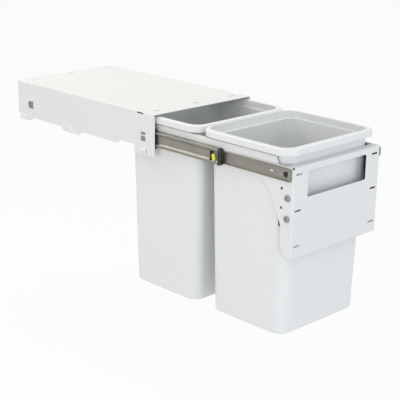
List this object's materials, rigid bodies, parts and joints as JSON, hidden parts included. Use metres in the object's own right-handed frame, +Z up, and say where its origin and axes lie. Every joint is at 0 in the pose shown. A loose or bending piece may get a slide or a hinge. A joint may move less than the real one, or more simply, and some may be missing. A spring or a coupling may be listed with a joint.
{
  "type": "pull out bin frame",
  "caption": "Pull-out waste bin unit: folded white steel housing, ball-bearing telescopic runners, and a front-bracketed carriage frame that carries lift-out plastic bins.",
  "frame": {"origin": "centre of the housing's flat top face, which lies under the worktop", "axes": "+X to the right seen from the front, +Y into the cabinet along the runners, +Z up; the carriage pulls out along -Y and is shown pulled out"},
  "size_m": [0.318, 0.9235, 0.427],
  "materials": {
    "white_powder_coat": "satin white powder coat on folded steel sheet",
    "runner_steel": "warm grey zinc-plated roll-formed steel",
    "cage_steel": "thin zinc-plated strip",
    "ball_steel": "polished ball steel",
    "black_plastic": "fine-grained black moulding",
    "yellow_plastic": "smooth yellow moulding",
    "rubber": "moulded rubber",
    "black_dip_paint": "black dip paint on flat steel plate",
    "black_screw_steel": "black-oxidised turned steel",
    "screw_steel": "zinc-plated turned steel",
    "rivet_aluminium": "plain rivets",
    "bin_plastic": "light grey moulded polypropylene, fine satin"
  },
  "bodies": {
    "housing": {"housing_shell": "white_powder_coat", "left_runner_outer": "runner_steel", "right_runner_outer": "runner_steel", "left_rear_stop": "rubber", "right_rear_stop": "rubber"},
    "carriage": {"left_runner_inner": "runner_steel", "right_runner_inner": "runner_steel", "left_side_rail": "white_powder_coat", "right_side_rail": "white_powder_coat", "left_mounting_plate": "black_dip_paint", "right_mounting_plate": "black_dip_paint", "front_bracket": "white_powder_coat", "rear_cross_rail": "white_powder_coat", "runner_screws": "black_screw_steel", "bracket_adjusters": "screw_steel", "cross_rail_rivets": "rivet_aluminium"},
    "left_middle_member": {"left_runner_middle": "runner_steel", "left_front_retainer": "black_plastic"},
    "left_outer_ball_cage": {"left_outer_cage": "cage_steel", "left_outer_balls": "ball_steel"},
    "left_inner_ball_cage": {"left_inner_cage": "cage_steel", "left_inner_balls": "ball_steel"},
    "left_latch": {"left_release_latch": "yellow_plastic"},
    "right_middle_member": {"right_runner_middle": "runner_steel", "right_front_retainer": "black_plastic"},
    "right_outer_ball_cage": {"right_outer_cage": "cage_steel", "right_outer_balls": "ball_steel"},
    "right_inner_ball_cage": {"right_inner_cage": "cage_steel", "right_inner_balls": "ball_steel"},
    "right_latch": {"right_release_latch": "yellow_plastic"},
    "front_bin": {"front_bin": "bin_plastic"},
    "rear_bin": {"rear_bin": "bin_plastic"}
  },
  "joints": [
    {"name": "carriage_slide", "type": "slide", "parent": "housing", "child": "carriage", "axis": [0, -1, 0], "range_m": [-0.402, 0.1]},
    {"name": "left_middle_member_slide", "type": "slide", "parent": "housing", "child": "left_middle_member", "axis": [0, -1, 0], "range_m": [-0.2181, 0.055]},
    {"name": "left_outer_ball_cage_slide", "type": "slide", "parent": "housing", "child": "left_outer_ball_cage", "axis": [0, -1, 0], "range_m": [-0.1095, 0.028]},
    {"name": "left_inner_ball_cage_slide", "type": "slide", "parent": "housing", "child": "left_inner_ball_cage", "axis": [0, -1, 0], "range_m": [-0.3105, 0.078]},
    {"name": "left_latch_slide", "type": "slide", "parent": "left_middle_member", "child": "left_latch", "axis": [0, 0, 1], "range_m": [0, 0.004], "stiffness_N_per_m": 100, "springref_m": -0.001},
    {"name": "right_middle_member_slide", "type": "slide", "parent": "housing", "child": "right_middle_member", "axis": [0, -1, 0], "range_m": [-0.2181, 0.055]},
    {"name": "right_outer_ball_cage_slide", "type": "slide", "parent": "housing", "child": "right_outer_ball_cage", "axis": [0, -1, 0], "range_m": [-0.1095, 0.028]},
    {"name": "right_inner_ball_cage_slide", "type": "slide", "parent": "housing", "child": "right_inner_ball_cage", "axis": [0, -1, 0], "range_m": [-0.3105, 0.078]},
    {"name": "right_latch_slide", "type": "slide", "parent": "right_middle_member", "child": "right_latch", "axis": [0, 0, 1], "range_m": [0, 0.004], "stiffness_N_per_m": 100, "springref_m": -0.001},
    {"name": "front_bin_lift", "type": "slide", "parent": "carriage", "child": "front_bin", "axis": [0, 0, 1], "range_m": [0, 0.46]},
    {"name": "rear_bin_lift", "type": "slide", "parent": "carriage", "child": "rear_bin", "axis": [0, 0, 1], "range_m": [0, 0.003]}
  ],
  "couplings": [
    {"joint": "left_middle_member_slide", "follows": "carriage_slide", "ratio": 0.54},
    {"joint": "left_outer_ball_cage_slide", "follows": "carriage_slide", "ratio": 0.27},
    {"joint": "left_inner_ball_cage_slide", "follows": "carriage_slide", "ratio": 0.77},
    {"joint": "right_middle_member_slide", "follows": "carriage_slide", "ratio": 0.54},
    {"joint": "right_outer_ball_cage_slide", "follows": "carriage_slide", "ratio": 0.27},
    {"joint": "right_inner_ball_cage_slide", "follows": "carriage_slide", "ratio": 0.77}
  ]
}
